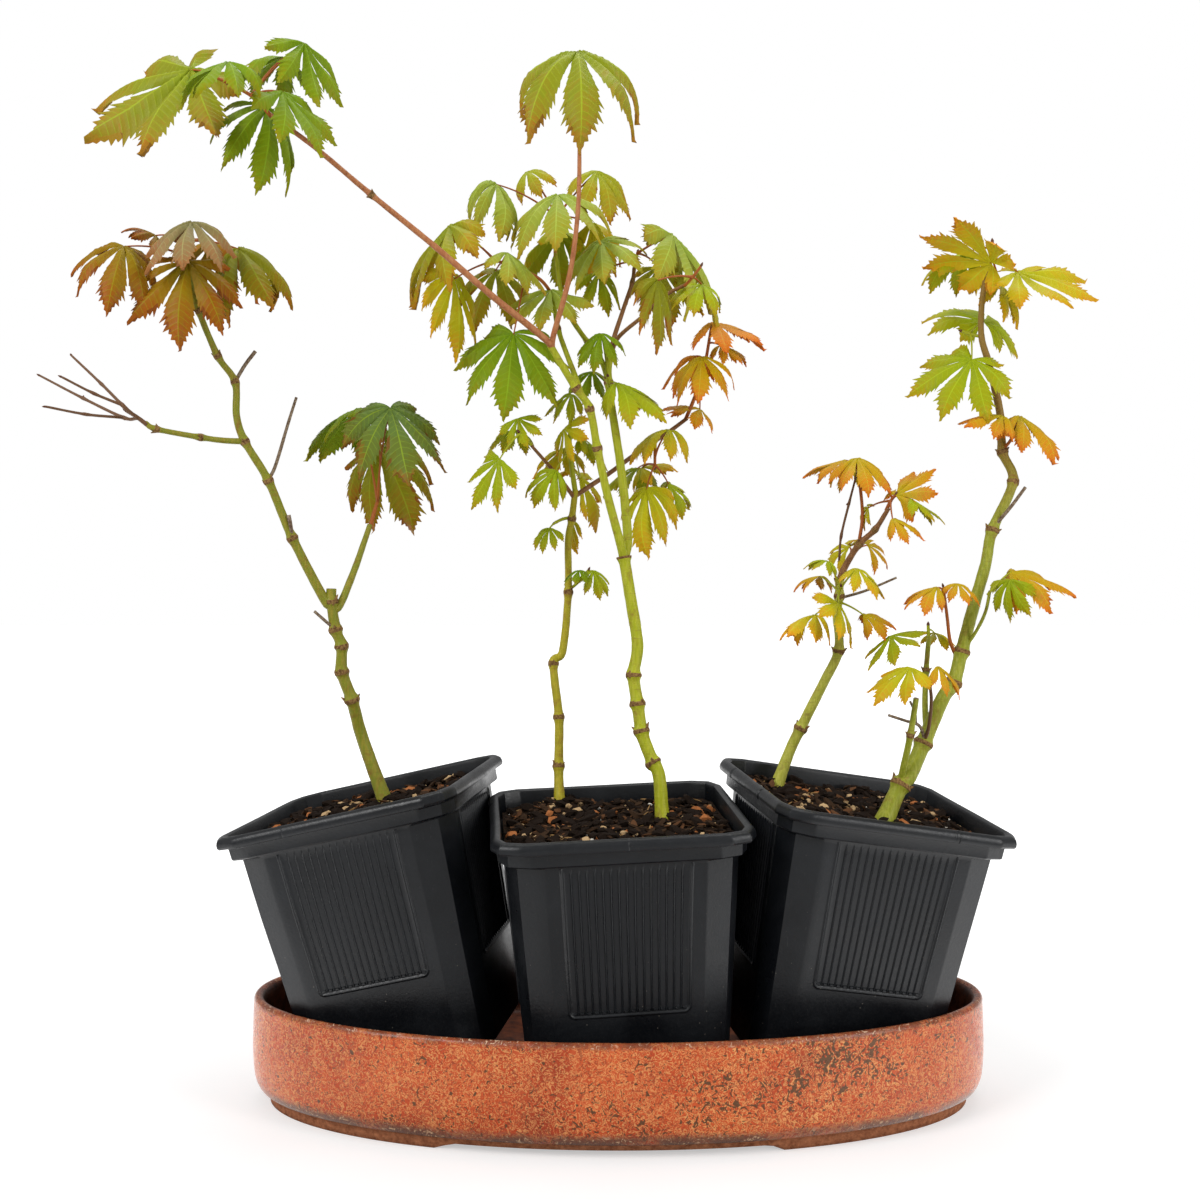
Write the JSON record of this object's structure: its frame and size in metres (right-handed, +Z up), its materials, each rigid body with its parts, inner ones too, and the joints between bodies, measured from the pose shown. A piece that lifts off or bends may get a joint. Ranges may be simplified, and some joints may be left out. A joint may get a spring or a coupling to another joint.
{
  "type": "japanese maple forest bonsai",
  "caption": "Young Japanese maples with green to orange autumn leaves in square black nursery pots, leaning together in an oval orange-glazed tray",
  "frame": {"origin": "middle of the whole's bounding box in plan, at the level the tray stands on", "axes": "+Z up, -Y toward the viewer at the front of the tray, +X to the viewer's right, along the tray's length"},
  "size_m": [0.563, 0.231, 0.5443],
  "materials": {
    "glaze": "satin orange-red glaze, crawled and speckled brown",
    "plastic": "satin moulded plastic, dusty",
    "soil": "loose peat, bark and pumice",
    "green_bark": "smooth young green bark with brown node rings",
    "brown_bark": "smooth reddish brown young bark",
    "green_leaf": "thin satin leaves",
    "orange_leaf": "thin satin autumn leaves",
    "copper_leaf": "thin copper-brown autumn leaves"
  },
  "bodies": {
    "root": {"tray": "glaze", "left_pot": "plastic", "left_soil": "soil", "middle_pot": "plastic", "middle_soil": "soil", "right_pot": "plastic", "right_soil": "soil", "left_trunk": "green_bark", "left_leader": "green_bark", "left_bare_bough": "green_bark", "left_right_bough": "green_bark", "slender_trunk": "green_bark", "slender_left_bough": "brown_bark", "slender_right_bough": "brown_bark", "tall_trunk": "green_bark", "tall_left_fork": "green_bark", "tall_right_fork": "green_bark", "tall_long_bough": "brown_bark", "tall_top_shoot": "brown_bark", "tall_back_bough": "green_bark", "tall_rear_bough": "green_bark", "tall_side_bough": "brown_bark", "tall_low_bough": "brown_bark", "short_trunk": "green_bark", "short_bough": "brown_bark", "stout_trunk": "green_bark", "stout_cut_stem": "green_bark", "stout_rear_stem": "green_bark", "stout_right_shoot": "green_bark", "left_top_leaves": "copper_leaf", "left_right_leaves": "green_leaf", "left_bare_twigs": "brown_bark", "slender_left_leaves": "green_leaf", "slender_hub_leaves": "green_leaf", "slender_low_leaves": "green_leaf", "slender_top_leaves": "green_leaf", "slender_middle_leaves": "green_leaf", "slender_shoot_leaves": "green_leaf", "tall_long_leaves": "green_leaf", "tall_top_leaf": "green_leaf", "tall_left_leaves": "green_leaf", "tall_crown_leaves": "green_leaf", "tall_side_leaves": "green_leaf", "tall_low_leaves": "green_leaf", "tall_fork_leaves": "green_leaf", "short_top_leaves": "orange_leaf", "short_tip_leaves": "orange_leaf", "short_back_leaves": "orange_leaf", "short_low_leaves": "orange_leaf", "stout_top_leaves": "green_leaf", "stout_upper_leaves": "green_leaf", "stout_middle_leaves": "orange_leaf", "stout_right_leaves": "green_leaf", "stout_left_leaves": "orange_leaf", "stout_brown_leaves": "orange_leaf", "stout_rear_leaves": "green_leaf"}
  },
  "joints": []
}
